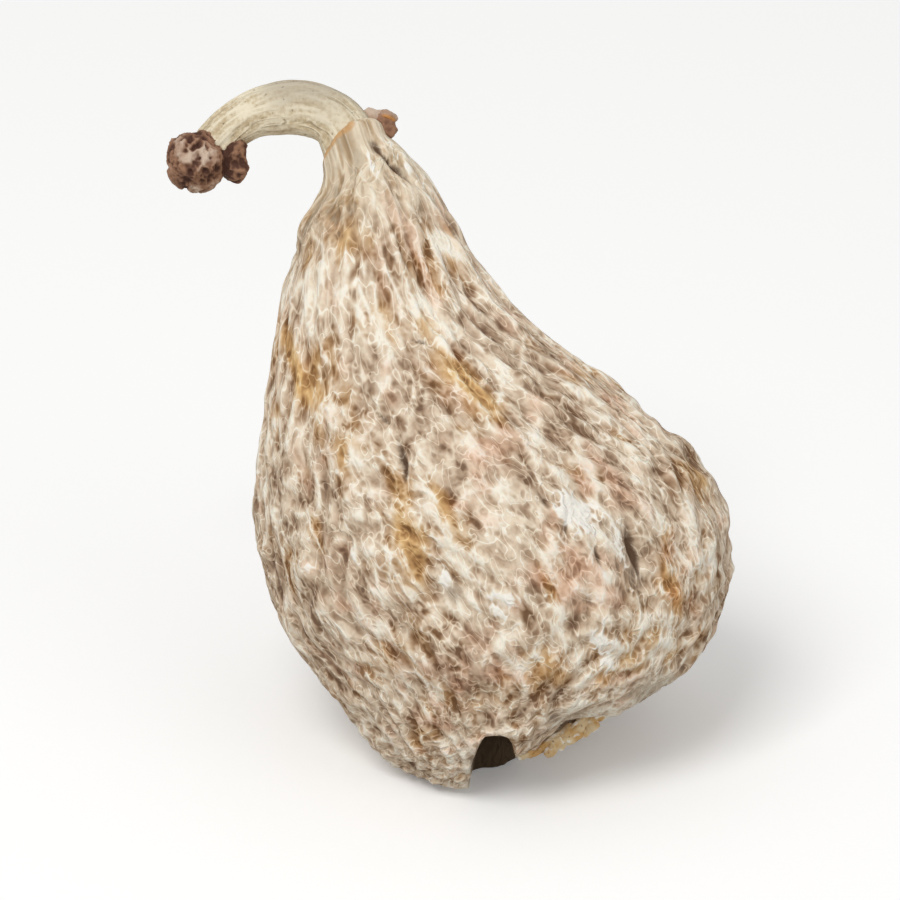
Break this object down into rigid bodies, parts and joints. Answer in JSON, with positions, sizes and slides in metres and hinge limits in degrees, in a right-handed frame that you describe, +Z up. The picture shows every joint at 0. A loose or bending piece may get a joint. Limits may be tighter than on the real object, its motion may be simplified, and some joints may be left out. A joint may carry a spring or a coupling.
{
  "type": "dried fig",
  "caption": "Whole pear-shaped sun-dried fig with a wrinkled, sugar-bloomed skin and a hooked dry stalk, standing on its pressed heel.",
  "frame": {"origin": "middle of the flat heel that the fig rests on", "axes": "+Z up from the surface that it rests on; the stalk hooks over towards -X; the eye of the blunt end faces -Y; +Y is the back"},
  "size_m": [0.0362, 0.0277, 0.0398],
  "materials": {
    "skin": "matte, wrinkled, dusted with pale sugar bloom",
    "stalk": "dry and fibrous",
    "bark": "dark, rough bark",
    "scales": "dry, papery crust"
  },
  "bodies": {
    "root": {"fruit": "skin", "stalk": "stalk", "stalk_end_knob": "bark", "neck_bract": "bark", "eye_scales": "scales"}
  },
  "joints": []
}
